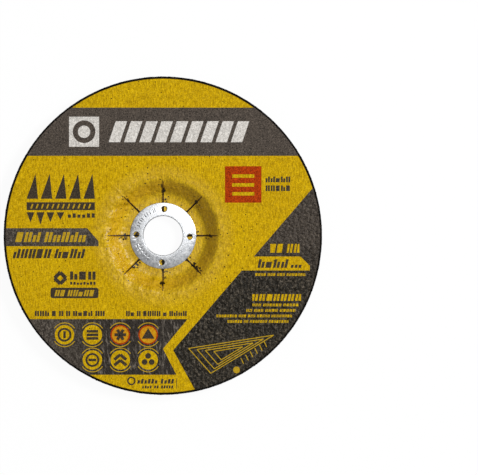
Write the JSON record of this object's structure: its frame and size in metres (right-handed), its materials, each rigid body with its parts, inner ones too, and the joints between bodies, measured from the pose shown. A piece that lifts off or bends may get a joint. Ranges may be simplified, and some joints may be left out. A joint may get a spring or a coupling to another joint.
{
  "type": "depressed-centre cut-off wheel",
  "caption": "Flat resin-bonded cutting disc with a pressed-in centre, a slit paper label with printed colour fields, a dark paper back and flanged steel rings round its bore.",
  "frame": {"origin": "on the bore axis, in the outer face of the back ring, which is what the wheel lies on", "axes": "+Z along the bore out of the label side, +Y towards the dark band of the label, +X to the right of the label"},
  "size_m": [0.18, 0.18, 0.0082],
  "materials": {
    "abrasive": "matte",
    "label_paper": "matte",
    "facing_paper": "matte",
    "ring_steel": "satin",
    "dark_ink": "matte",
    "white_ink": "matte",
    "red_ink": "matte"
  },
  "bodies": {
    "root": {"abrasive_body": "abrasive", "front_label": "label_paper", "back_facing": "facing_paper", "front_ring": "ring_steel", "back_ring": "ring_steel", "band_print": "dark_ink", "side_tag_print": "dark_ink", "left_panel_print": "dark_ink", "right_panel_print": "dark_ink", "white_print": "white_ink", "red_print": "red_ink", "dark_print": "dark_ink"}
  },
  "joints": []
}
